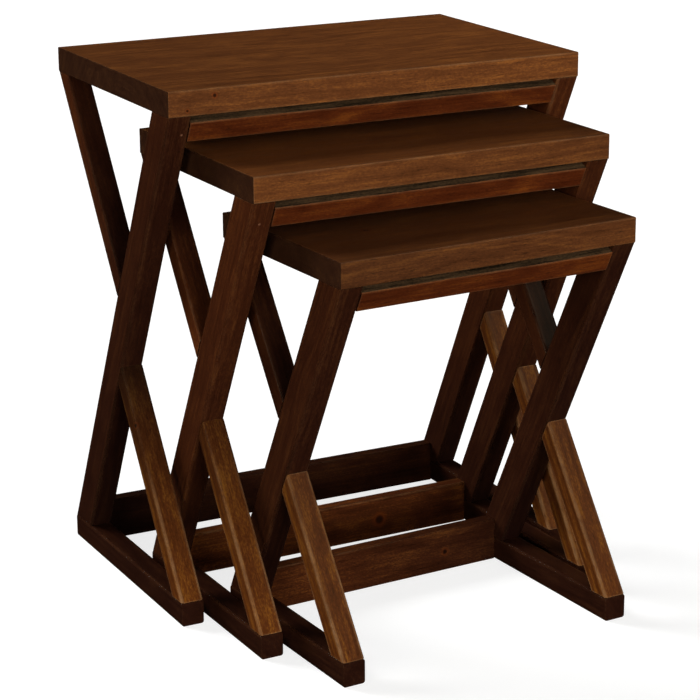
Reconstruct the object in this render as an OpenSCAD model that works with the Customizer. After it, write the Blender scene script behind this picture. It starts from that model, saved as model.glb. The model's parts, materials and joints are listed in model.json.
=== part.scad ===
// Nest of three tables on crossed side frames.
//
// Each table is a board on two side frames. A side frame is a floor runner, one long leg
// that slopes from the front of the board to the back of the runner, and two equal short
// braces: the back brace carries the back of the board and the front brace props the leg.
// A front apron and a rear rail tie the two side frames together. Dowels hold every joint.
//
// Frame of each table: X across, Y from its front edge to its back edge, Z up from the floor.
// Origin of the whole nest: centre of its outline, on the floor.

/* [Large table] */
// Width over the two side frames
table_w = 512; // [420:1:700]
// Depth from the front edge to the back edge
table_d = 324; // [270:1:420]
// Height of the board's upper face
table_h = 610; // [500:1:740]

/* [Boards and frames] */
// Thickness of the three boards
board_t = 28.5; // [22:0.5:36]
// Thickness of every side frame member, across the table
frame_t = 27; // [22:0.5:34]
// Width of the long sloping legs
leg_w = 42.5; // [35:0.5:52]
// Width of the short braces
brace_w = 23.5; // [19:0.5:30]
// Angle between a short brace and the upright, in degrees
brace_lean = 34; // [28:0.5:41]
// Height of the floor runners
runner_h = 28; // [23:0.5:36]

/* [Rails] */
// Thickness of the rear rail and of the front apron
rail_t = 17; // [14:0.5:22]
// Height of the rear rail
rail_h = 51; // [42:0.5:64]
// Distance from the rear rail to the back ends of the runners
rail_inset = 15; // [8:0.5:20]
// Width of the front apron, measured down the leg
apron_w = 25.5; // [20:0.5:34]
// Clearance between the apron's upper back edge and the board
apron_clear = 0.3; // [0.1:0.1:2]

/* [Nesting] */
// Clearance on each side between one table and the next smaller one
side_clear = 8.5; // [6:0.5:14]
// Clearance between a rear rail and the smaller table pushed home against it
rear_clear = 2; // [1:0.5:8]
// Clearance between an apron and the board that slides under it
head_clear = 12.5; // [6:0.5:20]

/* [Pulled out] */
// How far the medium table stands forward of the large one
medium_out = 119; // [60:0.5:200]
// Sideways shift of the medium table's front
medium_shift = 4.5; // [0:0.5:5]
// Turn of the medium table, in degrees
medium_turn = 1.05; // [0:0.05:1.2]
// How far the small table stands forward of the large one
small_out = 219.5; // [160:0.5:300]
// Sideways shift of the small table's front
small_shift = 14.5; // [10:0.5:17]
// Turn of the small table, in degrees
small_turn = 3.15; // [2:0.05:3.5]

/* [Dowels] */
// Diameter of the dowels
dowel_d = 8; // [6:0.5:10]
// Length of the dowels, half in each of the two pieces
dowel_l = 36; // [28:1:42]
// Slack of a dowel's bore, on the diameter
bore_slack = 0.1; // [0.05:0.05:0.4]
// Wood left between the outermost dowel and the edge of a leg's level end
dowel_edge = 2.5; // [2:0.5:4]
// Wood left between the two dowels in a leg's top end, where there is room for it
dowel_web = 4.5; // [3:0.5:5]
// Least wood between any two dowels near the top of a leg
dowel_gap = 1.2; // [1:0.1:1.5]

/* [Hidden] */
SIZES = ["large", "medium", "small"];
PIECES = [
    "top_board", "front_apron", "rear_rail", "left_leg", "right_leg",
    "left_back_brace", "right_back_brace", "left_front_brace", "right_front_brace",
    "left_runner", "right_runner", "top_dowels", "frame_dowels", "rail_dowels"
];
LARGE = 0;
MEDIUM = 1;
SMALL = 2;
LEFT = -1;
RIGHT = 1;
BOARD_BROWN = "#5a3820";
FRAME_BROWN = "#3c2416";
RAIL_BROWN = "#54301a";
DOWEL_BEECH = "#c9a26d";
ROUND_FN = 48;

// Outside sizes: each table takes its own from the one that it slides into
function width(i) = i == LARGE ? table_w : width(i - 1) - 2 * (frame_t + side_clear);
function depth(i) = i == LARGE ? table_d : depth(i - 1) - rail_inset - rail_t - rear_clear;
function height(i) = i == LARGE ? table_h : height(i - 1) - board_t - apron_drop(i - 1) - head_clear;

// Levels and widths inside a table
function under(i) = height(i) - board_t;
function rise(i) = under(i) - runner_h;
function inner_w(i) = width(i) - 2 * frame_t;

// The leg runs from corner to corner of the side frame, so its slope follows from its width:
// run is how far back it goes over its rise, and what is left of the depth is its level cut
function leg_q(i) = 1 - pow(leg_w / rise(i), 2);
function leg_run(i) =
    let (d = depth(i), q = leg_q(i))
    (d - sqrt(d * d - q * (d * d - leg_w * leg_w))) / q;
function leg_cut(i) = depth(i) - leg_run(i);
function leg_slope(i) = leg_run(i) / rise(i);
function leg_lean(i) = atan(leg_slope(i));

// The short braces
brace_cut = brace_w / cos(brace_lean);
brace_slope = tan(brace_lean);
function brace_rise(i, start) = (leg_run(i) - start) / (brace_slope + leg_slope(i));
function brace_tip(i, start) = [start + brace_slope * brace_rise(i, start), runner_h + brace_rise(i, start)];
function brace_joint(i) = (brace_tip(i, 0) + brace_tip(i, brace_cut)) / 2;

// The apron lies square to the leg, with its face flush with the leg's sloping front face
function apron_start(i) = rail_t * tan(leg_lean(i)) + apron_clear / cos(leg_lean(i));
function apron_drop(i) = (apron_start(i) + apron_w) * cos(leg_lean(i));
function leg_point(i, down, into) =
    let (a = leg_lean(i))
    [down * sin(a) + into * cos(a), under(i) - down * cos(a) + into * sin(a)];

// The side frame looks the same turned half round, so the back brace is the front one turned
function half_turn(i, p) = [depth(i) - p[0], under(i) + runner_h - p[1]];

// Outlines in Y and Z
function leg_outline(i) = [
    [0, under(i)], [leg_cut(i), under(i)], [depth(i), runner_h], [leg_run(i), runner_h]
];
function front_brace_outline(i) = [
    [0, runner_h], [brace_cut, runner_h], brace_tip(i, brace_cut), brace_tip(i, 0)
];
function back_brace_outline(i) = [for (p = front_brace_outline(i)) half_turn(i, p)];
function apron_outline(i) = [
    leg_point(i, apron_start(i), 0),
    leg_point(i, apron_start(i), rail_t),
    leg_point(i, apron_start(i) + apron_w, rail_t),
    leg_point(i, apron_start(i) + apron_w, 0)
];

// Dowel places in Y and Z, each on the face where its two pieces meet
half_dowel = dowel_l / 2;
function back_dowel_y(i) = leg_cut(i) - dowel_d / 2 - dowel_edge;

// The apron's dowel is in the middle of the apron's end, or further forward where it would
// crowd the two dowels behind it in the leg's top end
function apron_dowel_down(i) = apron_start(i) + apron_w / 2;
function apron_dowel_into(i) =
    let (a = leg_lean(i), furthest_back = back_dowel_y(i) - 2 * (dowel_d + dowel_gap))
    min(rail_t / 2, (furthest_back - apron_dowel_down(i) * sin(a)) / cos(a));
function apron_dowel(i) = leg_point(i, apron_dowel_down(i), apron_dowel_into(i));
function web_room(i) = back_dowel_y(i) - apron_dowel(i)[0] - 2 * dowel_d - dowel_gap;
function leg_top_dowels(i) = [
    [back_dowel_y(i), under(i)],
    [back_dowel_y(i) - dowel_d - min(dowel_web, web_room(i)), under(i)]
];
function leg_foot_dowel(i) = half_turn(i, leg_top_dowels(i)[0]);
front_brace_dowel = [(brace_cut + brace_slope * half_dowel) / 2, runner_h];
function back_brace_dowel(i) = half_turn(i, front_brace_dowel);
function rail_middle(i) = depth(i) - rail_inset - rail_t / 2;
function rail_end_dowels(i) = [
    [rail_middle(i), runner_h / 2],
    [rail_middle(i), (runner_h + rail_h) / 2]
];

// Where each table stands
OUT = [0, medium_out, small_out];
SHIFT = [0, medium_shift, small_shift];
TURN = [0, medium_turn, small_turn];
function front_reach(i) = OUT[i] + width(i) / 2 * sin(TURN[i]);
nest_middle = (table_d - max([for (i = [LARGE : SMALL]) front_reach(i)])) / 2;
module stand(i) {
    translate([SHIFT[i], -OUT[i] - nest_middle, 0]) rotate([0, 0, TURN[i]]) children();
}

// Puts what is drawn about the middle of a side frame into the left or the right one
module side_frame(i, side) {
    translate([side * (width(i) - frame_t) / 2, 0, 0]) children();
}

// A bar across the table with the given outline in Y and Z
module bar(outline, length) {
    rotate([90, 0, 90]) linear_extrude(height = length, center = true) polygon(outline);
}

// A round of one dowel's length, centred on a place in Y and Z and leaning back from upright
module upright_round(place, lean, diameter) {
    translate([0, place[0], place[1]]) rotate([-lean, 0, 0])
        cylinder(h = dowel_l, d = diameter, center = true, $fn = ROUND_FN);
}

// The same round lying across the table
module cross_round(place, diameter) {
    translate([0, place[0], place[1]]) rotate([0, 90, 0])
        cylinder(h = dowel_l, d = diameter, center = true, $fn = ROUND_FN);
}

// Rounds between the board and one side frame
module top_rounds(i, diameter) {
    for (place = leg_top_dowels(i)) upright_round(place, 0, diameter);
    upright_round(back_brace_dowel(i), 0, diameter);
}

// Rounds inside one side frame: leg and brace into the runner, both braces into the leg
module frame_rounds(i, diameter) {
    upright_round(leg_foot_dowel(i), 0, diameter);
    upright_round(front_brace_dowel, 0, diameter);
    upright_round(brace_joint(i), brace_lean, diameter);
    upright_round(half_turn(i, brace_joint(i)), brace_lean, diameter);
}

// Rounds between the rails and one side frame, about the frame's inner face
module rail_rounds(i, side, diameter) {
    translate([-side * frame_t / 2, 0, 0]) {
        for (place = rail_end_dowels(i)) cross_round(place, diameter);
        cross_round(apron_dowel(i), diameter);
    }
}

// All the bores that one side frame's dowels need
module frame_bores(i, side) {
    bore_d = dowel_d + bore_slack;
    top_rounds(i, bore_d);
    frame_rounds(i, bore_d);
    rail_rounds(i, side, bore_d);
}

// The board
module top_board(i) {
    color(BOARD_BROWN) difference() {
        translate([-width(i) / 2, 0, under(i)]) cube([width(i), depth(i), board_t]);
        for (side = [LEFT, RIGHT]) side_frame(i, side) frame_bores(i, side);
    }
}

// The tilted rail between the tops of the legs
module front_apron(i) {
    color(RAIL_BROWN) difference() {
        bar(apron_outline(i), inner_w(i));
        for (side = [LEFT, RIGHT]) side_frame(i, side) frame_bores(i, side);
    }
}

// The upright rail on the floor between the backs of the side frames
module rear_rail(i) {
    color(RAIL_BROWN) difference() {
        translate([-inner_w(i) / 2, depth(i) - rail_inset - rail_t, 0])
            cube([inner_w(i), rail_t, rail_h]);
        for (side = [LEFT, RIGHT]) side_frame(i, side) frame_bores(i, side);
    }
}

// One member of a side frame, with its bores
module frame_member(i, side, outline) {
    side_frame(i, side) color(FRAME_BROWN) difference() {
        bar(outline, frame_t);
        frame_bores(i, side);
    }
}

// The long sloping leg
module leg(i, side) {
    frame_member(i, side, leg_outline(i));
}

// The short brace behind the leg, under the back of the board
module back_brace(i, side) {
    frame_member(i, side, back_brace_outline(i));
}

// The short brace in front of the leg, on the front of the runner
module front_brace(i, side) {
    frame_member(i, side, front_brace_outline(i));
}

// The runner that lies on the floor
module runner(i, side) {
    frame_member(i, side, [[0, 0], [depth(i), 0], [depth(i), runner_h], [0, runner_h]]);
}

// The dowels between the board and the side frames
module top_dowels(i) {
    color(DOWEL_BEECH) for (side = [LEFT, RIGHT]) side_frame(i, side) top_rounds(i, dowel_d);
}

// The dowels inside the side frames
module frame_dowels(i) {
    color(DOWEL_BEECH) for (side = [LEFT, RIGHT]) side_frame(i, side) frame_rounds(i, dowel_d);
}

// The dowels at the ends of the apron and the rear rail
module rail_dowels(i) {
    color(DOWEL_BEECH) for (side = [LEFT, RIGHT]) side_frame(i, side) rail_rounds(i, side, dowel_d);
}

for (i = [LARGE : SMALL]) {
    stand(i) top_board(i);
    stand(i) front_apron(i);
    stand(i) rear_rail(i);
    stand(i) leg(i, LEFT);
    stand(i) leg(i, RIGHT);
    stand(i) back_brace(i, LEFT);
    stand(i) back_brace(i, RIGHT);
    stand(i) front_brace(i, LEFT);
    stand(i) front_brace(i, RIGHT);
    stand(i) runner(i, LEFT);
    stand(i) runner(i, RIGHT);
    stand(i) top_dowels(i);
    stand(i) frame_dowels(i);
    stand(i) rail_dowels(i);
}
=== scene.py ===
# %% [markdown]
# # A nest of three tables
#
# Three tables of one design stand one in front of another, each small enough to slide home under
# the next. The wood is a solid hardwood, stained dark like walnut and sprayed with satin lacquer.
# The CAD frame already holds every size and place. This lesson gives each of its bars and boards
# the eased edges, the grain and the finish of the real thing, without moving anything.

# %% Load the frame
import json
import math

import bpy
import numpy as np
from mathutils import Matrix, Vector


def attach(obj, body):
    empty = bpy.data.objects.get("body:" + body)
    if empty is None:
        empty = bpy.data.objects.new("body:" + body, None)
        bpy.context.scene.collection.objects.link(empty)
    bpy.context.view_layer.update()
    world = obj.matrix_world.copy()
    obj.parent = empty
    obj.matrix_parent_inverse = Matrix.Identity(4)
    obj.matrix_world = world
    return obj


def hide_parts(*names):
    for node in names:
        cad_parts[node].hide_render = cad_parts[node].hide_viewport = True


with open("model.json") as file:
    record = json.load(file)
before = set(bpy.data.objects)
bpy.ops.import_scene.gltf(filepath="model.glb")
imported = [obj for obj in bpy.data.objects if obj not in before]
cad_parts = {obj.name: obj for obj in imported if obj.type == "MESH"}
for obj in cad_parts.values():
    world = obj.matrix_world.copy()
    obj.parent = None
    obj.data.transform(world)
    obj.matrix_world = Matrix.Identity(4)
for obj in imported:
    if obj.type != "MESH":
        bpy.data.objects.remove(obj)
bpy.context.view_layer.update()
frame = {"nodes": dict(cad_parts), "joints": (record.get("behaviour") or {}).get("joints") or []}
scene = bpy.context.scene

# %% [markdown]
# ## The camera
#
# A long lens from almost three metres away keeps the upright edges nearly parallel, as in a
# catalogue. It stands to the left of the front and a little above the tallest board. The camera
# turns about the upright first, then tips down, and the last small turn levels the picture.

# %% Camera
camera_place = Vector((-1.2334, -2.3482, 1.0806))
camera_heading = math.radians(-27.385)
camera_pitch = math.radians(-16.855)
camera_roll = math.radians(-0.289)

camera_data = bpy.data.cameras.new("catalogue_camera")
camera_data.lens = 123.18
camera_data.sensor_width = 36.0
camera = bpy.data.objects.new("catalogue_camera", camera_data)
camera.location = camera_place
camera.rotation_euler = (
    Matrix.Rotation(camera_heading, 3, "Z")
    @ Matrix.Rotation(math.pi / 2 + camera_pitch, 3, "X")
    @ Matrix.Rotation(camera_roll, 3, "Z")
).to_euler()
scene.collection.objects.link(camera)
scene.camera = camera
print("camera height above the floor:", round(camera_place.z, 2), "m")

# %% [markdown]
# ## Each table's own axes
#
# The medium and the small table stand slightly askew. Their joints say by how much: each one
# slides straight out along its own front-to-back line. Turned back by that angle, a table is
# square to X and Y, which is how its bars are easiest to measure and to model. A last turn puts
# each finished piece where the CAD has it.

# %% Turns and measures
SIZES = ("large", "medium", "small")
turns = {"large": 0.0}
for joint in frame["joints"]:
    slide_x, slide_y, _ = joint["axis"]
    turns[joint["child"].replace("_table", "")] = math.atan2(slide_x, -slide_y)


def node_points(node, size):
    """The corner points of a CAD node, in its own table's axes."""
    back = Matrix.Rotation(-turns[size], 3, "Z")
    return np.array([back @ vertex.co for vertex in frame["nodes"][node].data.vertices])


def node_box(node, size):
    """The lowest and highest corner of a CAD node, in its own table's axes."""
    points = node_points(node, size)
    return Vector(points.min(axis=0)), Vector(points.max(axis=0))


for size in SIZES:
    low, high = node_box(size + "_top_board", size)
    print(size, "board:", [round(1000 * span, 1) for span in high - low], "mm, turned",
          round(math.degrees(turns[size]), 2), "degrees")

# %% [markdown]
# ## Sawing and easing a bar
#
# Every piece of a table is a straight stick. On the bench it is planed to its width and
# thickness, sawn at both ends, and its edges are eased with sandpaper. The same steps work here.
# A cube is added at the stick's size and place, too long. Bisect saws each end off along a plane
# and closes it. Bevel eases the long edges more than the sawn ends, which meet another piece
# and keep a crisp, thin joint line. A last inset leaves a narrow band beside each eased edge, so
# that the finish can be worn there, with a painted highlight, and whole further in.

# %% Add and saw a stick
SPARE_LENGTH = 0.12


def deselect_all():
    """Nothing selected and nothing in edit mode."""
    if bpy.context.mode != "OBJECT":
        bpy.ops.object.mode_set(mode="OBJECT")
    bpy.ops.object.select_all(action="DESELECT")


def add_stick(name, middle, spans, lean=0.0):
    """A cube at its size and place, leaning back from upright, with its turn and scale applied."""
    deselect_all()
    bpy.ops.mesh.primitive_cube_add(size=1.0, location=middle, rotation=(-lean, 0.0, 0.0))
    stick = bpy.context.object
    stick.name = name
    stick.data.name = name
    stick.scale = spans
    bpy.ops.object.transform_apply(location=True, rotation=True, scale=True)
    return stick


def saw(point, outward):
    """Saws off what lies beyond a plane and closes the end. The piece is in edit mode."""
    bpy.ops.mesh.select_all(action="SELECT")
    bpy.ops.mesh.bisect(plane_co=point, plane_no=outward, use_fill=True, clear_outer=True)


# %% [markdown]
# The boards keep a fairly sharp edge, and the bars of the frames are rounded more, as hands and
# floors touch them most. To ease only the right edges, they are picked by direction: the long
# ones run with the grain. Sawn ends are picked by normal, and flats by their width.

# %% Ease the edges
BOARD_EDGE = 0.0014
FRAME_EDGE = 0.0028
END_EDGE = 0.0006
EDGE_BAND_WIDTH = 0.0025
END_BAND = 0.0008
EASE_STEPS = 3


def select_edges(piece, wanted):
    """Selects, in edit mode, the edges whose direction passes a test."""
    bpy.ops.mesh.select_mode(type="EDGE")
    bpy.ops.mesh.select_all(action="DESELECT")
    bpy.ops.object.mode_set(mode="OBJECT")
    for edge in piece.data.edges:
        start, end = (piece.data.vertices[i].co for i in edge.vertices)
        edge.select = wanted((end - start).normalized())
    bpy.ops.object.mode_set(mode="EDIT")


def select_faces(piece, wanted):
    """Selects, in edit mode, the faces that pass a test."""
    bpy.ops.mesh.select_mode(type="FACE")
    bpy.ops.mesh.select_all(action="DESELECT")
    bpy.ops.object.mode_set(mode="OBJECT")
    for face in piece.data.polygons:
        face.select = wanted(face)
    bpy.ops.object.mode_set(mode="EDIT")


def is_sawn_end(face, grain):
    """True for a face that looks out of an end and not sideways."""
    return abs(face.normal.dot(grain)) > 0.5


def is_wide(piece, face):
    """True for a flat side or end, and not for a strip of an eased edge or a band beside it."""
    corners = [piece.data.vertices[i].co for i in face.vertices]
    longest = max((a - b).length for a, b in zip(corners, corners[1:] + corners[:1]))
    return face.area / longest > 2 * EDGE_BAND_WIDTH


def ease(piece, grain, radius):
    """Rounds the long edges, breaks the sawn ones and insets the flats, which stay selected."""
    select_edges(piece, lambda direction: abs(direction.dot(grain)) > 0.99)
    bpy.ops.mesh.bevel(offset=radius, segments=EASE_STEPS, affect="EDGES")
    select_faces(piece, lambda face: is_sawn_end(face, grain))
    bpy.ops.mesh.region_to_loop()
    bpy.ops.mesh.bevel(offset=END_EDGE, segments=EASE_STEPS, affect="EDGES")
    select_faces(piece, lambda face: is_wide(piece, face) and is_sawn_end(face, grain))
    bpy.ops.mesh.inset(thickness=END_BAND, use_individual=True)
    select_faces(piece, lambda face: is_wide(piece, face) and not is_sawn_end(face, grain))
    bpy.ops.mesh.inset(thickness=EDGE_BAND_WIDTH, use_individual=True)
    select_faces(piece, lambda face: is_wide(piece, face))


def work_stick(piece, grain, radius, cuts=()):
    """All the bench work on one stick: both saw cuts, then the eased edges."""
    bpy.ops.object.mode_set(mode="EDIT")
    for point, outward in cuts:
        saw(point, outward)
    ease(piece, grain, radius)
    bpy.ops.object.mode_set(mode="OBJECT")


# %% [markdown]
# ## Grain that follows each piece
#
# The fibres run along a stick whatever way it leans, so the wood pattern cannot follow the
# room's axes. Each piece instead carries its own wood coordinates, written on its face corners:
# along the grain, across it and through the thickness, in metres, from the place in the log that
# it was sawn from. One material can then draw rings, fibres and pores that run right through a
# bar and come out at its ends as end grain. A second attribute holds how deep the stain took,
# with painted shade added in, whether a face is end grain, and where the eased edges are, which
# get wear and a painted highlight.

# %% Wood coordinates
def write_corners(piece, name, values):
    """Writes one vector per face corner."""
    attribute = piece.data.attributes.new(name, "FLOAT_VECTOR", "CORNER")
    attribute.data.foreach_set("vector", np.ascontiguousarray(values, np.float32).ravel())


def inner_vertices(piece):
    """Marks the vertices of the faces that easing has left selected: the flats inside the bands."""
    inner = np.zeros(len(piece.data.vertices), dtype=bool)
    for face in piece.data.polygons:
        if face.select:
            inner[list(face.vertices)] = True
    return inner


def mark_wood(piece, axes, log_place, stain_and_shade, front_shade=0.0):
    """Writes the wood coordinates and the finish. axes are along, across and through.

    The stain depths are given at the lower or left end, in the middle and at the other end, and hold
    painted shade as well. The front depth is painted shade, added on the faces that look back along
    the across axis.
    """
    corners = [i for face in piece.data.polygons for i in face.vertices]
    normals = [tuple(face.normal) for face in piece.data.polygons for _ in face.vertices]
    points = np.array([tuple(piece.data.vertices[i].co) for i in corners])
    middle = (points.min(axis=0) + points.max(axis=0)) / 2
    turned = np.array([tuple(axis) for axis in axes])
    wood = (points - middle) @ turned.T
    stain_and_shade_depth = np.interp(wood[:, 0], np.linspace(wood[:, 0].min(), wood[:, 0].max(), 3), stain_and_shade)
    # Painted shade: the faces that look forward are darkened by the last argument
    stain_and_shade_depth = np.clip(stain_and_shade_depth + front_shade * np.clip(-np.array(normals) @ turned[1], 0.0, 1.0), 0.0, 1.0)
    along = np.abs(np.array(normals) @ turned[0])
    end_grain = np.clip((along - 0.35) / 0.3, 0.0, 1.0)
    edge_band = np.where(inner_vertices(piece), 0.0, 1.0)[corners]
    write_corners(piece, "wood", wood + np.array(log_place))
    write_corners(piece, "finish", np.stack([stain_and_shade_depth, end_grain, edge_band], axis=1))


# %% [markdown]
# No two bars of a batch take the stain alike, and one bar changes along its length. The depths
# below go from 0, a bright orange brown, to 1, nearly black, and some of them are painted shade.
# The runners and the legs are the darkest, the boards and the aprons the lightest, and the front
# braces darken towards the top. The rear rails are painted darker where the frames and boards
# shade them: the large one nearly black, most of all at the left, and the others lighter at the
# left end and darker towards the right. The medium table's left back brace is painted darker at
# the top, in the shade of its board. The front faces of the legs and the back braces are painted
# darker than their sides: painted shade, since they look down or lie under the board.

# %% Places in the log and depths of stain and painted shade
LOG_PLACES = {
    "top_board": (0.4, 0.03, 0.11),
    "leg": (6.0, 0.05, 0.04),
    "front_brace": (12.0, 0.07, 0.02),
    "back_brace": (18.0, 0.05, 0.06),
    "runner": (24.0, 0.04, 0.05),
    "rear_rail": (30.0, 0.0, 0.06),
    "front_apron": (36.0, 0.02, 0.07),
}
TABLE_STEP = 1.3
SIDE_STEP = 0.6

STAIN_AND_SHADE_DEPTHS = {
    "top_board": (0.0, 0.0, 0.0),
    "leg": (0.95, 0.92, 0.86),
    "front_brace": (0.1, 0.15, 0.4),
    "back_brace": (0.8, 0.62, 0.5),
    "runner": (0.94, 0.92, 0.92),
    # Painted light and shade: lighter at the left end, darker in the middle and to the right
    "rear_rail": (0.25, 1.0, 0.84),
    "front_apron": (0.2, 0.35, 0.08),
}
STAIN_AND_SHADE_OF_ONE = {
    "large_top_board": (0.26, 0.27, 0.0),
    "medium_top_board": (0.15, 0.0, 0.33),
    "small_top_board": (0.58, 0.0, 0.35),
    "large_left_leg": (0.92, 0.88, 0.74),
    "medium_left_leg": (0.75, 0.55, 0.5),
    "small_left_leg": (0.86, 0.78, 0.72),
    "large_right_leg": (0.95, 0.88, 0.35),
    "medium_right_leg": (0.95, 0.88, 0.55),
    "small_right_leg": (0.93, 0.9, 0.8),
    "large_left_front_brace": (0.0, 0.0, 1.0),
    "medium_left_front_brace": (0.0, 0.3, 0.65),
    # Painted shade: darker at the top, in the shade of the board
    "medium_left_back_brace": (0.15, 0.5, 0.95),
    # Painted shade: nearly black, most of all at the left, as it lies in shadow under the tables
    "large_rear_rail": (1.0, 0.85, 0.82),
    # Painted shade: darker towards the right end
    "medium_rear_rail": (0.0, 0.0, 0.35),
    "medium_front_apron": (0.15, 0.1, 0.0),
}
# Painted shade: how much darker the faces that look forward are made, as they look down or lie under
# the board
FRONT_SHADE_DEPTHS = {"leg": 0.09, "back_brace": 0.3}


def log_place(kind, size_number, side_number=0):
    """Where in the log a piece was sawn."""
    along, across, through = LOG_PLACES[kind]
    return along + TABLE_STEP * size_number + SIDE_STEP * side_number, across, through


def stain_and_shade_of(kind, node):
    """The piece's own depths of stain and painted shade, or else those of its kind."""
    return STAIN_AND_SHADE_OF_ONE.get(node, STAIN_AND_SHADE_DEPTHS[kind])


print("log places of the legs:", [log_place("leg", i) for i in range(3)])

# %% [markdown]
# ## Joining the frame
#
# A worked piece gets smooth shading on its eased edges and flat shading on its faces. Weighted
# normals keep the large flats truly flat, so that they shine evenly. Then the table's own turn
# is applied, the piece takes its finish, it is attached to its table's body, and the CAD node it
# stands for is hidden.

# %% Finish one piece
def finish_piece(piece, size, node, material):
    """Shading, the table's turn, the material, and the calls that join the frame."""
    deselect_all()
    piece.select_set(True)
    bpy.context.view_layer.objects.active = piece
    bpy.ops.object.shade_smooth_by_angle(angle=math.radians(40))
    piece.rotation_euler = (0.0, 0.0, turns[size])
    bpy.ops.object.transform_apply(location=True, rotation=True, scale=True)
    bpy.ops.object.modifier_add(type="WEIGHTED_NORMAL")
    bpy.context.object.modifiers[-1].keep_sharp = True
    bpy.ops.object.modifier_apply(modifier=bpy.context.object.modifiers[-1].name)
    piece.data.materials.clear()
    piece.data.materials.append(material)
    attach(piece, size + "_table")
    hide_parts(node)


# %% [markdown]
# ## Stained hardwood under satin lacquer
#
# A plantation hardwood with a plain, open grain is stained to look like walnut. The stain sinks
# deeper into soft early wood and open pores than into late wood, so the rings, the fibres and
# the pores all show as darker lines. End grain drinks most and turns nearly black. The lacquer
# is thin, so the pores still catch the light, and it is rubbed a little paler along the edges.

# %% Colour and node helpers
def linear(hex_colour):
    """An sRGB hex colour as linear red, green, blue and alpha."""
    channels = [int(hex_colour[i:i + 2], 16) / 255 for i in (1, 3, 5)]
    curved = [c / 12.92 if c <= 0.04045 else ((c + 0.055) / 1.055) ** 2.4 for c in channels]
    return (*curved, 1.0)


def add(material, kind, links=None, **settings):
    """Adds a node. Settings are its properties or the values of its inputs, links its inputs."""
    node = material.node_tree.nodes.new("ShaderNode" + kind)
    for key, value in settings.items():
        if hasattr(node, key):
            setattr(node, key, value)
        elif key[1:].isdigit():
            node.inputs[int(key[1:])].default_value = value
        else:
            node.inputs[key.replace("_", " ")].default_value = value
    for key, output in (links or {}).items():
        material.node_tree.links.new(output, node.inputs[key])
    return node


def new_material(name):
    """A material with an empty node tree."""
    material = bpy.data.materials.new(name)
    material.use_nodes = True
    material.node_tree.nodes.clear()
    return material


print("walnut stain, linear:", [round(c, 4) for c in linear("#573119")])

# %% [markdown]
# Knots come first, because the fibres flow around them. A knot is a small dark disc where a
# branch left the trunk. The place that every later pattern reads is pulled in towards its
# middle, so the lines of the grain swell around it.

# %% Knots
KNOT_REACH = 4.0
KNOT_PULL = 1.3


def around_knots(wood, place, knots):
    """How near each point is to a knot, 0 to 1, and the place bent around the knots."""
    nearness = None
    bent = place
    for x, y, z, radius in knots:
        away = add(wood, "VectorMath", {0: place}, operation="SUBTRACT", i1=(x, y, z)).outputs[0]
        distance = add(wood, "VectorMath", {0: away}, operation="LENGTH").outputs["Value"]
        near = add(wood, "MapRange", {"Value": distance}, interpolation_type="SMOOTHERSTEP",
                   i1=KNOT_REACH * radius, i2=0.0).outputs["Result"]
        outward = add(wood, "VectorMath", {0: away}, operation="NORMALIZE").outputs[0]
        pull = add(wood, "Math", {0: near}, operation="MULTIPLY", i1=KNOT_PULL * radius).outputs[0]
        shift = add(wood, "VectorMath", {0: outward, "Scale": pull}, operation="SCALE").outputs[0]
        bent = add(wood, "VectorMath", {0: bent, 1: shift}, operation="SUBTRACT").outputs[0]
        if nearness is None:
            nearness = near
        else:
            nearness = add(wood, "Math", {0: nearness, 1: near}, operation="MAXIMUM").outputs[0]
    return nearness, bent


# %% [markdown]
# The grain is a sum of patterns, each at the size of something real: growth rings 6 mm apart,
# slow streaks 3 to 4 mm wide where the stain ran along the fibres, single fibres, cloudy
# patches from a rag, and a fine mottle of sanding marks under 2 mm. The pores are about
# 0.3 mm wide on the real wood. They are drawn four times as wide, or no view would show them.

# %% Grain
RING_WIDTH = 0.006
# Length along the grain, width across it, and the share of each pattern
STREAKS = (0.16, 0.0036, 0.75)
FIBRES = (0.035, 0.0016, 0.75)
CLOUDS = (0.05, 0.02, 0.9)
MOTTLE = (0.0035, 0.0014, 1.15)
RING_SHARE = 0.8
PORES = (0.011, 0.0012)


def noise_along(wood, place, length, width, detail):
    """Noise whose spots are as long and as wide as given, along the grain."""
    stretched = add(wood, "Mapping", {"Vector": place}, Scale=(1 / length, 1 / width, 1 / width))
    return add(wood, "TexNoise", {"Vector": stretched.outputs["Vector"]}, Scale=1.0,
               Detail=detail, Roughness=0.6).outputs["Fac"]


def ring_noise(wood, place):
    """Growth rings: uneven bands of the distance from the pith, which sways along the trunk."""
    slow = add(wood, "Mapping", {"Vector": place}, Scale=(4.0, 9.0, 9.0)).outputs["Vector"]
    waves = add(wood, "TexNoise", {"Vector": slow}, Scale=1.0, Detail=2.0).outputs["Color"]
    sway = add(wood, "VectorMath", {0: waves}, operation="SUBTRACT", i1=(0.5, 0.5, 0.5)).outputs[0]
    bend = add(wood, "VectorMath", {0: sway}, operation="MULTIPLY", i1=(0.0, 0.05, 0.05)).outputs[0]
    swayed = add(wood, "VectorMath", {0: place, 1: bend}, operation="ADD").outputs[0]
    section = add(wood, "VectorMath", {0: swayed}, operation="MULTIPLY", i1=(0.0, 1.0, 1.0))
    radius = add(wood, "VectorMath", {0: section.outputs[0]}, operation="LENGTH").outputs["Value"]
    count = add(wood, "Math", {0: radius}, operation="DIVIDE", i1=RING_WIDTH).outputs[0]
    return add(wood, "TexNoise", {"W": count}, noise_dimensions="1D", Scale=1.0, Detail=2.5,
               Roughness=0.6).outputs["Fac"]


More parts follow.
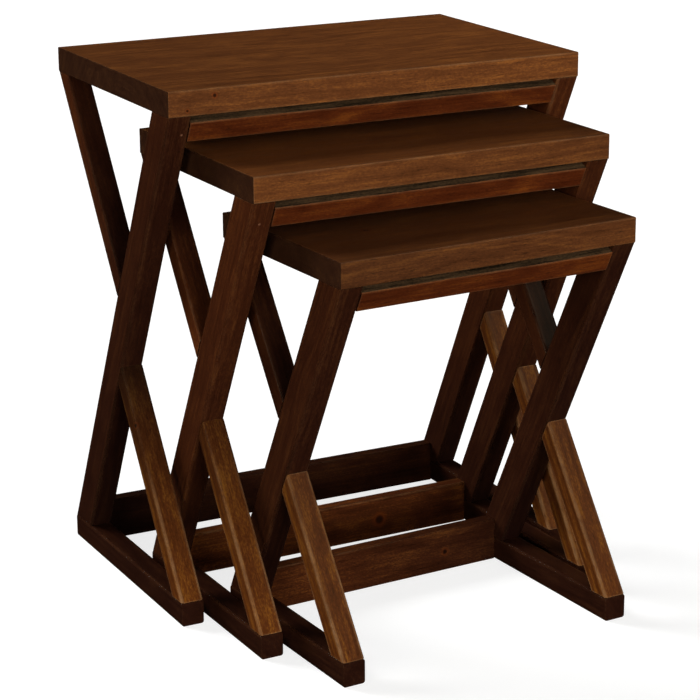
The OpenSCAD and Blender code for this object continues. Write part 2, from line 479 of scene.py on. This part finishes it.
def grain_shade(wood, place, contrast):
    """One number from 0, dark, to 1, light, and the fibres and clouds that are in it."""
    fibres = noise_along(wood, place, *FIBRES[:2], 3.0)
    clouds = noise_along(wood, place, *CLOUDS[:2], 4.0)
    streaks = noise_along(wood, place, *STREAKS[:2], 2.0)
    mottle = noise_along(wood, place, *MOTTLE[:2], 2.0)
    shade = add(wood, "Math", {0: ring_noise(wood, place)}, operation="MULTIPLY_ADD",
                i1=contrast * RING_SHARE, i2=0.5 - 0.5 * contrast * RING_SHARE).outputs[0]
    shares = ((streaks, STREAKS[2]), (fibres, FIBRES[2]), (clouds, CLOUDS[2]), (mottle, MOTTLE[2]))
    for noise, share in shares:
        even = add(wood, "Math", {0: noise}, operation="SUBTRACT", i1=0.5).outputs[0]
        shade = add(wood, "Math", {0: even, 2: shade}, operation="MULTIPLY_ADD",
                    i1=contrast * share).outputs[0]
    return shade, fibres, clouds


# %% [markdown]
# Colour is then built up in the order of the real finishing. The bare tones come first, the
# knots and pores are filled with dark stain, and the dye darkens each bar to its own depth, which
# also holds painted shade. It multiplies the colour under it, so the grain stays visible. A few
# fixing holes are filled with a paler paste. Last comes the rubbed edge, a thin paler line that
# comes and goes: real wear together with a painted highlight of the lacquer on the eased edge. It
# is strongest on the front braces, which feet rub and where the painted highlight is brightest.

# %% Stain, painted shade, filler, rubbed edges and painted highlight
PORE_STAIN = "#160c07"
KNOT_RING = "#743410"
DYE_AND_SHADE = "#6975ab"
END_DEPTH = 0.9
FILLER = "#8a5f45"
FILLER_RADIUS = 0.0018
FILLER_COVER = 0.45
# Pale edge colour: real wear together with a painted highlight on the eased edges
RUBBED_EDGE_AND_HIGHLIGHT = "#9a7650"
EDGE_PATCH_SCALE = 45.0
# Where a mark of the noise or the knot begins, where it is full, and how much it covers
PORE_SHOWS = (0.6, 0.78, 0.6)
RING_SHOWS = (0.2, 0.75, 0.55)
CORE_SHOWS = (0.7, 0.96, 0.9)


def shows(wood, value, begins, full, cover):
    """From 0 where a value begins to count to its cover where it is full."""
    return add(wood, "MapRange", {"Value": value}, i1=begins, i2=full, i4=cover).outputs["Result"]


def stain_shade_and_highlight_layers(wood, place, marks, tones, nearness, fillers, wear_and_highlight):
    """The colour after stain, dye with painted shade, filler, and wear with a painted edge highlight.
    """
    pore_noise = noise_along(wood, place, *PORES, 1.0)
    pores = shows(wood, pore_noise, *PORE_SHOWS)
    ring = shows(wood, nearness, *RING_SHOWS)
    core = shows(wood, nearness, *CORE_SHOWS)
    ringed = add(wood, "Mix", {0: ring, 6: tones}, data_type="RGBA", i7=linear(KNOT_RING)).outputs[2]
    dark = add(wood, "Math", {0: pores, 1: core}, operation="MAXIMUM").outputs[0]
    filled = add(wood, "Mix", {0: dark, 6: ringed}, data_type="RGBA", i7=linear(PORE_STAIN)).outputs[2]
    # Painted shade rides in the same depth as the stain and darkens the colour through the dye
    end_depth = add(wood, "Math", {0: marks.outputs["Y"]}, operation="MULTIPLY", i1=END_DEPTH)
    stain_and_shade_depth = add(wood, "Math", {0: end_depth.outputs[0], 1: marks.outputs["X"]}, operation="MAXIMUM")
    colour = add(wood, "Mix", {0: stain_and_shade_depth.outputs[0], 6: filled}, data_type="RGBA",
                 blend_type="MULTIPLY", i7=linear(DYE_AND_SHADE)).outputs[2]
    for x, y, z in fillers:
        away = add(wood, "VectorMath", {0: place}, operation="DISTANCE", i1=(x, y, z))
        dot = shows(wood, away.outputs["Value"], FILLER_RADIUS, 0.5 * FILLER_RADIUS, FILLER_COVER)
        colour = add(wood, "Mix", {0: dot, 6: colour}, data_type="RGBA", i7=linear(FILLER)).outputs[2]
    edge_patch_noise = add(wood, "TexNoise", {"Vector": place}, Scale=EDGE_PATCH_SCALE, Detail=3.0).outputs["Fac"]
    patches = add(wood, "MapRange", {"Value": edge_patch_noise}, i1=0.35, i2=0.7, i3=0.3 * wear_and_highlight,
                  i4=wear_and_highlight).outputs["Result"]
    line = add(wood, "Math", {0: marks.outputs["Z"]}, operation="POWER", i1=5.0).outputs[0]
    edge_wear_and_highlight = add(wood, "Math", {0: line, 1: patches}, operation="MULTIPLY").outputs[0]
    # Wear and the painted edge highlight show where the stain is pale and hardly at all on the darkest
    # bars
    pale = add(wood, "MapRange", {"Value": stain_and_shade_depth.outputs[0]}, i1=0.0, i2=0.6, i3=1.0, i4=0.05)
    wear_and_highlight_share = add(wood, "Math", {0: edge_wear_and_highlight, 1: pale.outputs["Result"]}, operation="MULTIPLY").outputs[0]
    colour = add(wood, "Mix", {0: wear_and_highlight_share, 6: colour}, data_type="RGBA", i7=linear(RUBBED_EDGE_AND_HIGHLIGHT)).outputs[2]
    return colour, pores


# %% [markdown]
# Satin lacquer is a clear film with an index of refraction near 1.5 and fine matting powder in
# it. Over open grain it lies thin and gives a soft, weak gloss, so the specular level is set
# below that of a full film. It is duller where the rag left more stain, and it sinks into the
# pores, which the bump shows. Hands have polished the eased edges, so they shine a little more.
# The finishes differ in tone: boards and front braces are golden, aprons the most red.

# %% Stained wood
EDGE_POLISH = 0.16
LACQUER_ROUGHNESS = (0.36, 0.48)
PORE_DEPTH = 0.0004


def stained_wood(name, tones, contrast, wear_and_highlight, knots, fillers=()):
    """Stained, lacquered hardwood in the wood coordinates of each piece."""
    wood = new_material(name)
    place = add(wood, "Attribute", attribute_name="wood").outputs["Vector"]
    finish = add(wood, "Attribute", attribute_name="finish").outputs["Vector"]
    marks = add(wood, "SeparateXYZ", {"Vector": finish})
    nearness, bent = around_knots(wood, place, knots)
    shade, fibres, clouds = grain_shade(wood, bent, contrast)
    ramp = add(wood, "ValToRGB", {"Fac": shade})
    ramp.color_ramp.elements.new(0.5)
    for stop, tone in zip(ramp.color_ramp.elements, tones):
        stop.color = linear(tone)
    colour, pores = stain_shade_and_highlight_layers(wood, place, marks, ramp.outputs["Color"], nearness, fillers,
                                 wear_and_highlight)
    patchy = add(wood, "MapRange", {"Value": clouds}, i1=0.3, i2=0.7, i3=LACQUER_ROUGHNESS[0],
                 i4=LACQUER_ROUGHNESS[1])
    dullness = add(wood, "Math", {0: marks.outputs["Z"], 2: patchy.outputs["Result"]},
                   operation="MULTIPLY_ADD", i1=-EDGE_POLISH)
    relief = add(wood, "Math", {0: pores, 2: fibres}, operation="MULTIPLY_ADD", i1=-0.8).outputs[0]
    bump = add(wood, "Bump", {"Height": relief}, Strength=0.3,
               Distance=PORE_DEPTH).outputs["Normal"]
    shader = add(wood, "BsdfPrincipled", {"Base Color": colour, "Normal": bump,
                 "Roughness": dullness.outputs[0]}, IOR=1.45, Specular_IOR_Level=0.3)
    add(wood, "OutputMaterial", {"Surface": shader.outputs["BSDF"]})
    return wood


BOARD_KNOTS = (
    (0.198, -0.132, 0.116, 0.0017),
    (0.166, -0.132, 0.102, 0.0012),
    (2.906, 0.005, 0.124, 0.003),
)
FRAME_KNOTS = ((12.068, 0.0675, 0.0068, 0.002),)
RAIL_KNOTS = (
    (31.371, -0.002, 0.0685, 0.0045),
    (32.687, -0.002, 0.0685, 0.0025),
    (30.099, -0.021, 0.0685, 0.0018),
)
FILLED_HOLES = ((6.296, 0.029, 0.0456), (7.552, 0.029, 0.039))

board_wood = stained_wood("golden_walnut_stained_hardwood", ("#301606", "#5e3519", "#945b26"),
                          0.5, 0.25, BOARD_KNOTS)
frame_wood = stained_wood("dark_walnut_stained_hardwood", ("#260f04", "#512711", "#874d1f"),
                          0.5, 0.35, FRAME_KNOTS, FILLED_HOLES)
# The front braces' large edge share paints a bright highlight on their eased edges, besides wear
brace_wood = stained_wood("amber_walnut_stained_hardwood", ("#260f03", "#532a0f", "#8b581b"),
                          0.65, 0.55, FRAME_KNOTS)
rail_wood = stained_wood("brown_walnut_stained_hardwood", ("#240d04", "#4c2510", "#844c1c"),
                         0.75, 0.25, RAIL_KNOTS)
apron_wood = stained_wood("red_walnut_stained_hardwood", ("#300f04", "#4d210c", "#703a12"),
                          0.8, 0.2, RAIL_KNOTS)
finishes = (board_wood, frame_wood, brace_wood, rail_wood, apron_wood)
print("finishes:", [finish.name for finish in finishes])

# %% [markdown]
# ## The boards
#
# A board this wide is glued up from staves that are matched so well that no seam shows, then
# planed flat and sanded. So it is one stick with its grain along the front edge. Its front edge
# is the brightest wood of a table, and its sawn ends are nearly black.

# %% Boards
ALONG_X = (Vector((1, 0, 0)), Vector((0, 1, 0)), Vector((0, 0, 1)))


def top_board(size, size_number):
    node = size + "_top_board"
    low, high = node_box(node, size)
    board = add_stick(node + "_finished", (low + high) / 2, high - low)
    work_stick(board, ALONG_X[0], BOARD_EDGE)
    mark_wood(board, ALONG_X, log_place("top_board", size_number), stain_and_shade_of("top_board", node))
    finish_piece(board, size, node, board_wood)
    return board


for i, size in enumerate(SIZES):
    board = top_board(size, i)
    print(board.name, len(board.data.polygons), "faces")

# %% [markdown]
# ## The side frames
#
# A side frame is an open X that stands on a runner: one long leg slopes from the front of the
# board down to the back of the runner, a short back brace meets it from behind and a short front
# brace from the front. Each slope is measured from the CAD node's own corners. A cube leaned by
# that angle, too long at both ends, is then sawn off level with the board or the runner, or
# along the face of the leg.

# %% Measuring a leaning stick
def lean_axes(lean):
    """Along, across and through, for a stick in a side frame that leans back from upright."""
    return (
        Vector((0, math.sin(lean), math.cos(lean))),
        Vector((0, math.cos(lean), -math.sin(lean))),
        Vector((1, 0, 0)),
    )


def level_corners(points, level):
    """The first and the last point, front to back, at a level."""
    there = points[np.abs(points[:, 2] - level) < 1e-5]
    return there[:, 1].min(), there[:, 1].max()


def stick_through(node, size, foot, head, width):
    """A stick whose front face passes through a foot and a head point, with spare length."""
    low, high = node_box(node, size)
    run = Vector((0, head[0] - foot[0], head[1] - foot[1]))
    lean = math.atan2(run.y, run.z)
    axes = lean_axes(lean)
    start = Vector(((low.x + high.x) / 2, foot[0], foot[1]))
    middle = start + run / 2 + axes[1] * width / 2
    spans = (high.x - low.x, width, run.length + SPARE_LENGTH)
    return add_stick(node + "_finished", middle, spans, lean), axes


# %% [markdown]
# The left and the right frame of a table are alike. So each piece is worked once, on the left,
# and duplicated with a mesh of its own. Only then does each of the two get its wood, since the
# two never come from the same place in the log.

# %% Left and right
def copy_aside(piece, name, shift):
    """A copy with its own mesh, moved along X."""
    deselect_all()
    piece.select_set(True)
    bpy.context.view_layer.objects.active = piece
    bpy.ops.object.duplicate()
    copy = bpy.context.object
    copy.name = name
    copy.data.name = name
    bpy.ops.transform.translate(value=(shift, 0.0, 0.0))
    bpy.ops.object.transform_apply(location=True, rotation=True, scale=True)
    return copy


def side_pair(size, size_number, kind, model):
    """Works the left piece, copies it to the right, and finishes both."""
    nodes = [f"{size}_{side}_{kind}" for side in ("left", "right")]
    left, axes = model(size, nodes[0])
    shift = node_box(nodes[1], size)[0].x - node_box(nodes[0], size)[0].x
    right = copy_aside(left, nodes[1] + "_finished", shift)
    for side_number, (piece, node) in enumerate(zip((left, right), nodes)):
        place = log_place(kind, size_number, side_number)
        mark_wood(piece, axes, place, stain_and_shade_of(kind, node), FRONT_SHADE_DEPTHS.get(kind, 0.0))
        wood = brace_wood if kind == "front_brace" else frame_wood
        finish_piece(piece, size, node, wood)
    return left


# %% [markdown]
# The leg gives its slope to the whole frame, and both braces are sawn along its faces. Its front
# face looks forward and down, and its ends are sawn level.

# %% Legs
def leg_slope(size):
    """The leg's corners at its foot and its head, and the outward normal of its front face."""
    node = size + "_left_leg"
    low, high = node_box(node, size)
    foot = level_corners(node_points(node, size), low.z)
    head = level_corners(node_points(node, size), high.z)
    lean = math.atan2(foot[0] - head[0], high.z - low.z)
    return foot, head, lean, Vector((0, -math.cos(lean), -math.sin(lean)))


def leg(size, node):
    low, high = node_box(node, size)
    foot, head, lean, _ = leg_slope(size)
    width = (head[1] - head[0]) * math.cos(lean)
    stick, axes = stick_through(node, size, (foot[0], low.z), (head[0], high.z), width)
    work_stick(stick, axes[0], FRAME_EDGE, ((low, (0, 0, -1)), (high, (0, 0, 1))))
    return stick, axes


for i, size in enumerate(SIZES):
    piece = side_pair(size, i, "leg", leg)
    print(piece.name, "leans", round(math.degrees(leg_slope(size)[2]), 1), "degrees")

# %% [markdown]
# A front brace rises from the tip of the runner and is sawn off along the leg's front face. Its
# own front face is the one that a foot rubs, and it is where the grain shows best.

# %% Front braces
def front_brace(size, node):
    low, high = node_box(node, size)
    points = node_points(node, size)
    front, back = level_corners(points, low.z)
    tip = level_corners(points, high.z)[0]
    lean = math.atan2(tip - front, high.z - low.z)
    width = (back - front) * math.cos(lean)
    stick, axes = stick_through(node, size, (front, low.z), (tip, high.z), width)
    leg_foot, _, _, leg_front = leg_slope(size)
    leg_point = (low.x, leg_foot[0], node_box(size + "_left_leg", size)[0].z)
    work_stick(stick, axes[0], FRAME_EDGE, ((low, (0, 0, -1)), (leg_point, -leg_front)))
    return stick, axes


for i, size in enumerate(SIZES):
    piece = side_pair(size, i, "front_brace", front_brace)
    print(piece.name, [round(1000 * span) for span in piece.dimensions], "mm")

# %% [markdown]
# A back brace hangs from the back of the board and is sawn off along the leg's back face.

# %% Back braces
def back_brace(size, node):
    low, high = node_box(node, size)
    points = node_points(node, size)
    front, back = level_corners(points, high.z)
    tip = level_corners(points, low.z)[1]
    lean = math.atan2(back - tip, high.z - low.z)
    width = (back - front) * math.cos(lean)
    foot = (tip - (back - front), low.z)
    stick, axes = stick_through(node, size, foot, (front, high.z), width)
    leg_foot, _, _, leg_front = leg_slope(size)
    leg_point = (low.x, leg_foot[1], node_box(size + "_left_leg", size)[0].z)
    work_stick(stick, axes[0], FRAME_EDGE, ((high, (0, 0, 1)), (leg_point, leg_front)))
    return stick, axes


for i, size in enumerate(SIZES):
    piece = side_pair(size, i, "back_brace", back_brace)
    print(piece.name, [round(1000 * span) for span in piece.dimensions], "mm")

# %% [markdown]
# A runner lies flat on the floor under the leg and the front brace. It is plain and square, and
# it took the most stain. Its grain runs front to back, so its front end shows end grain.

# %% Runners
def runner(size, node):
    low, high = node_box(node, size)
    piece = add_stick(node + "_finished", (low + high) / 2, high - low)
    axes = (Vector((0, 1, 0)), Vector((0, 0, 1)), Vector((1, 0, 0)))
    work_stick(piece, axes[0], FRAME_EDGE)
    return piece, axes


for i, size in enumerate(SIZES):
    piece = side_pair(size, i, "runner", runner)
    print(piece.name, [round(1000 * span) for span in piece.dimensions], "mm")

# %% [markdown]
# ## The cross pieces
#
# Two cross pieces hold the side frames together. The rear rail stands on the floor at the back.
# The front apron sits under the board and is tilted square to the legs, which leaves a V-shaped
# gap below the board. The face inside that gap is coloured darker and greyer, as painted shade.

# %% Rear rails
def rear_rail(size, size_number):
    node = size + "_rear_rail"
    low, high = node_box(node, size)
    piece = add_stick(node + "_finished", (low + high) / 2, high - low)
    axes = (Vector((1, 0, 0)), Vector((0, 0, 1)), Vector((0, -1, 0)))
    work_stick(piece, axes[0], BOARD_EDGE)
    mark_wood(piece, axes, log_place("rear_rail", size_number), stain_and_shade_of("rear_rail", node))
    finish_piece(piece, size, node, rail_wood)
    return piece


for i, size in enumerate(SIZES):
    piece = rear_rail(size, i)
    print(piece.name, [round(1000 * span) for span in piece.dimensions], "mm")

# %% [markdown]
# The face inside the gap gets a dark grey-brown without the red of the other faces: painted
# shade under the board. It is rough and has only a weak gloss.

# %% Painted shade inside the gap
def gap_shade_wood():
    """Dark grey-brown hardwood, rough and with a weak gloss: painted shade inside the gap."""
    wood = new_material("dry_unlacquered_hardwood")
    place = add(wood, "Attribute", attribute_name="wood").outputs["Vector"]
    shade = grain_shade(wood, place, 1.6)[0]
    ramp = add(wood, "ValToRGB", {"Fac": shade})
    ramp.color_ramp.elements[0].color = linear("#1a130b")
    ramp.color_ramp.elements[1].color = linear("#4a3724")
    shader = add(wood, "BsdfPrincipled", {"Base Color": ramp.outputs["Color"]}, Roughness=0.8,
                 Specular_IOR_Level=0.2)
    add(wood, "OutputMaterial", {"Surface": shader.outputs["BSDF"]})
    return wood


gap_wood = gap_shade_wood()
print("finish inside the gap:", gap_wood.name)

# %% [markdown]
# The apron's tilt is read from the CAD node: its topmost, frontmost and rearmost corners give
# its thickness, its width and the angle between them.

# %% Front aprons
def front_apron(size, size_number):
    node = size + "_front_apron"
    points = node_points(node, size)
    low, high = node_box(node, size)
    top = points[points[:, 2].argmax()]
    front = points[points[:, 1].argmin()]
    back = points[points[:, 1].argmax()]
    lean = math.atan2(top[2] - front[2], top[1] - front[1])
    thickness = math.hypot(top[2] - front[2], top[1] - front[1])
    width = math.hypot(top[2] - back[2], top[1] - back[1])
    spans = (high.x - low.x, thickness, width)
    piece = add_stick(node + "_finished", (low + high) / 2, spans, -lean)
    down = Vector((0, math.sin(lean), -math.cos(lean)))
    axes = (Vector((1, 0, 0)), down, Vector((0, -math.cos(lean), -math.sin(lean))))
    work_stick(piece, axes[0], BOARD_EDGE)
    mark_wood(piece, axes, log_place("front_apron", size_number), stain_and_shade_of("front_apron", node))
    finish_piece(piece, size, node, apron_wood)
    piece.data.materials.append(gap_wood)
    upward = Matrix.Rotation(turns[size], 3, "Z") @ -down
    for face in piece.data.polygons:
        if face.normal.dot(upward) > 0.95:
            face.material_index = 1
    return piece


for i, size in enumerate(SIZES):
    piece = front_apron(size, i)
    print(piece.name, [round(1000 * span) for span in piece.dimensions], "mm")

# %% [markdown]
# ## Dowels
#
# The dowels that hold a table together are inside the wood, so their CAD nodes can stay as they
# are. They are of beech, pale and close-grained, and have no finish, because glue must soak in.

# %% Dowels
FLECK_LENGTH = 0.016
FLECK_WIDTH = 0.0011


def beech():
    """Unfinished beech: pale, with short fine flecks."""
    wood = new_material("unfinished_beech_dowels")
    place = add(wood, "TexCoord").outputs["Object"]
    scales = (1 / FLECK_WIDTH, 1 / FLECK_WIDTH, 1 / FLECK_LENGTH)
    stretched = add(wood, "Mapping", {"Vector": place}, Scale=scales).outputs["Vector"]
    flecks = add(wood, "TexNoise", {"Vector": stretched}, Scale=1.0, Detail=2.0).outputs["Fac"]
    ramp = add(wood, "ValToRGB", {"Fac": flecks})
    ramp.color_ramp.elements[0].color = linear("#a9814f")
    ramp.color_ramp.elements[1].color = linear("#d3b07c")
    shader = add(wood, "BsdfPrincipled", {"Base Color": ramp.outputs["Color"]}, Roughness=0.7)
    add(wood, "OutputMaterial", {"Surface": shader.outputs["BSDF"]})
    return wood


dowel_wood = beech()
for size in SIZES:
    for kind in ("top_dowels", "frame_dowels", "rail_dowels"):
        dowels = frame["nodes"][f"{size}_{kind}"]
        dowels.data.materials.clear()
        dowels.data.materials.append(dowel_wood)
print("dowels:", dowel_wood.name)

# %% [markdown]
# ## Floor and backdrop
#
# A catalogue picture of furniture is taken on a white sweep, a paper floor that curves up behind
# the object, so brightly lit that it turns to pure white. A large plane and a dome around it do
# the same. Both glow a little themselves. They are hidden from the light that bounces to the
# wood, or so much white around dark lacquer would veil it with grey.

# %% Floor and dome
FLOOR_SIZE = 30.0
DOME_RADIUS = 14.0


def glowing_white(name, diffuse, glow):
    """Matt white paint that also glows a little, as a sweep lit from behind does."""
    paint = new_material(name)
    shader = add(paint, "BsdfPrincipled", Base_Color=(diffuse, diffuse, diffuse, 1.0),
                 Roughness=0.9, Specular_IOR_Level=0.0, Emission_Color=(1.0, 1.0, 1.0, 1.0),
                 Emission_Strength=glow)
    add(paint, "OutputMaterial", {"Surface": shader.outputs["BSDF"]})
    return paint


def only_seen(stage_piece, paint):
    """The camera sees it, but it sends no light and no reflection to the wood."""
    stage_piece.data.materials.append(paint)
    stage_piece.visible_diffuse = False
    stage_piece.visible_glossy = False
    stage_piece.visible_transmission = False
    stage_piece.visible_shadow = False


deselect_all()
bpy.ops.mesh.primitive_plane_add(size=FLOOR_SIZE)
floor = bpy.context.object
floor.name = "studio_floor"
only_seen(floor, glowing_white("matt_white_studio_floor", 0.3, 0.8))

deselect_all()
bpy.ops.mesh.primitive_uv_sphere_add(segments=48, ring_count=24, radius=DOME_RADIUS)
dome = bpy.context.object
dome.name = "studio_dome"
only_seen(dome, glowing_white("white_studio_dome", 0.0, 1.0))
print("floor:", FLOOR_SIZE, "m wide, dome:", DOME_RADIUS, "m in radius")

# %% [markdown]
# ## Light
#
# The light is soft and comes from low in front and from high behind on the left. The light from
# behind makes the tallest board glow and leaves the boards in front of it in its shade. A sun
# lamp with a wide angle acts as a big soft box far away: it lights every table alike, and its
# angle sets how soft the shadows are. Two warm lamps may show in the lacquer. The big ones in
# front and behind are kept out of it, as a polarising filter does, so dark wood stays deep.

# %% Soft lights
WARM_LIGHT = (1.0, 0.87, 0.6)
LIGHT_DISTANCE = 3.0


def soft_light(name, azimuth, elevation, spread, strength, in_gloss):
    """A far, wide soft light. Azimuth 0 is in front and 90 to the right."""
    turn = math.radians(azimuth)
    rise = math.radians(elevation)
    away = Vector((math.sin(turn) * math.cos(rise), -math.cos(turn) * math.cos(rise), math.sin(rise)))
    light_data = bpy.data.lights.new(name, "SUN")
    light_data.energy = strength
    light_data.angle = math.radians(spread)
    if in_gloss:
        light_data.color = WARM_LIGHT
    light = bpy.data.objects.new(name, light_data)
    light.location = away * LIGHT_DISTANCE
    light.rotation_euler = away.to_track_quat("Z", "Y").to_euler()
    light.visible_glossy = in_gloss
    scene.collection.objects.link(light)
    return light


# Name, azimuth, elevation and angle in degrees, strength, and whether it shows in the gloss
SOFT_LIGHTS = (
    ("front_light", 0, 7, 30, 2.9, False),
    ("front_left_light", -45, 12, 30, 0.95, False),
    ("back_left_light", -150, 31, 26, 4.6, False),
    ("left_light", -66, 10, 12, 0.7, True),
    ("front_right_light", 50, 50, 25, 0.25, True),
    ("right_light", 90, 15, 35, 0.6, False),
)
for light_row in SOFT_LIGHTS:
    print("light:", soft_light(*light_row).name)

# %% [markdown]
# The air of the room adds almost nothing, and the Standard view keeps the colours of the wood as
# saturated as they are mixed.

# %% Room air and view
world = bpy.data.worlds.new("studio_air")
scene.world = world
world.use_nodes = True
world.node_tree.nodes["Background"].inputs["Color"].default_value = (1.0, 1.0, 1.0, 1.0)
world.node_tree.nodes["Background"].inputs["Strength"].default_value = 0.006
scene.view_settings.view_transform = "Standard"
print("view transform:", scene.view_settings.view_transform)
